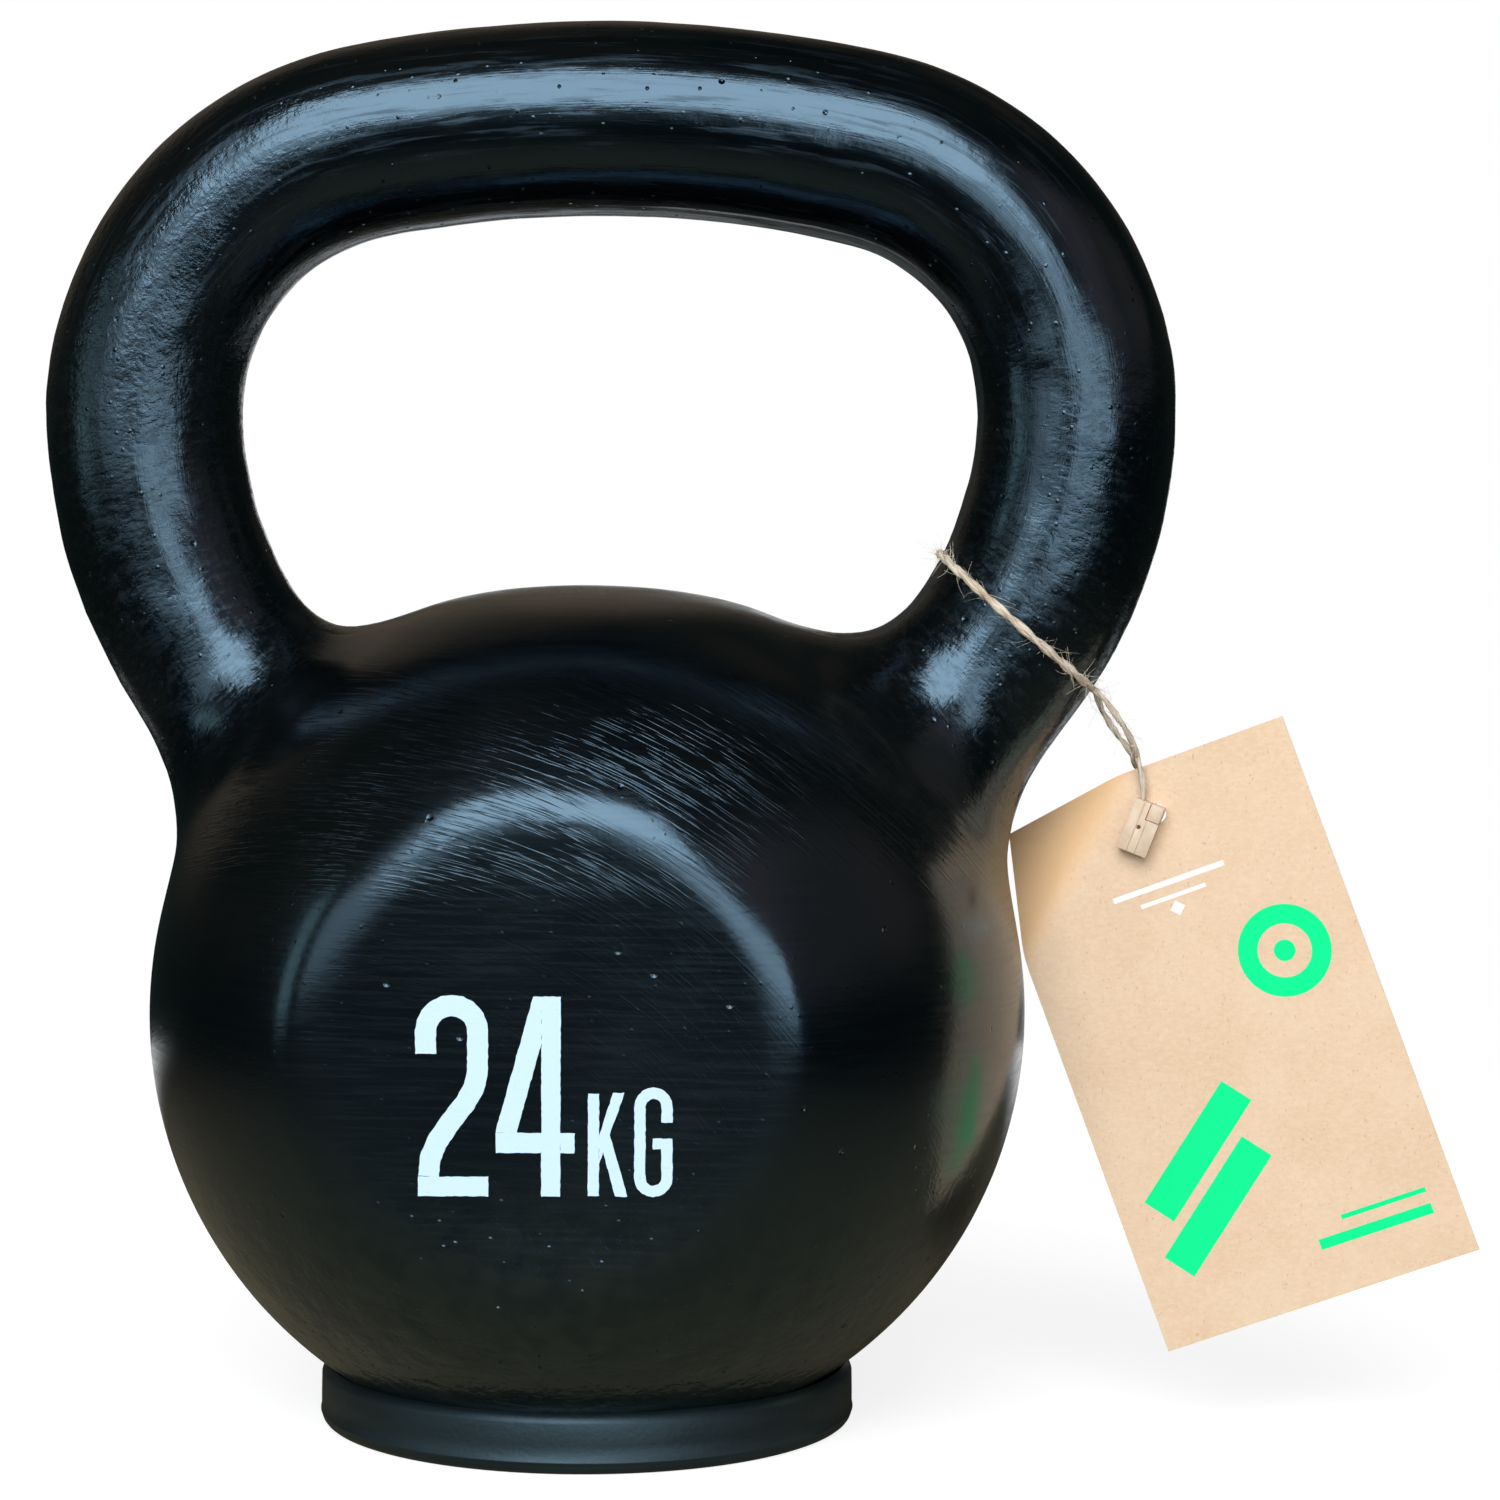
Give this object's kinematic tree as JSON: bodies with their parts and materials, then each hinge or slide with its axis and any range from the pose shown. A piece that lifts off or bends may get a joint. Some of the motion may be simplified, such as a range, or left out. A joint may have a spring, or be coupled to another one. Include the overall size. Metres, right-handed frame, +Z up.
{
  "type": "kettlebell",
  "caption": "Kettlebell with a ball-shaped iron weight, a thick looped handle, a soft boot under its base and a card hang tag tied to one leg of the handle.",
  "frame": {"origin": "centre of the boot's underside, on the floor below the middle of the ball", "axes": "+X along the handle towards the leg that carries the tag, +Y to the back, +Z up; the handle lies in the XZ plane and the marked face looks along -Y"},
  "size_m": [0.2954, 0.154, 0.2874],
  "materials": {
    "enamelled_iron": "thick glossy black enamel over a sand casting",
    "boot_rubber": "satin moulded",
    "twine": "two-ply natural fibre, matte and hairy",
    "lock_plastic": "satin beige",
    "kraft_card": "uncoated kraft, printed"
  },
  "bodies": {
    "bell": {"casting": "enamelled_iron", "boot": "boot_rubber", "twine_loop": "twine"},
    "strings": {"strand_front": "twine", "strand_back": "twine"},
    "tag": {"tail_front": "twine", "tail_back": "twine", "lock_socket": "lock_plastic", "lock_plug": "lock_plastic", "tag_card": "kraft_card"}
  },
  "joints": [
    {"name": "tag_swing", "type": "hinge", "parent": "bell", "child": "strings", "pos_m": [0.1034, 0, 0.152], "axis": [0, -1, 0], "range_deg": [0, 70]},
    {"name": "tag_turn", "type": "hinge", "parent": "strings", "child": "tag", "pos_m": [0.112, 0, 0.1384], "axis": [0, 0, -1], "range_deg": [0, 50]}
  ]
}
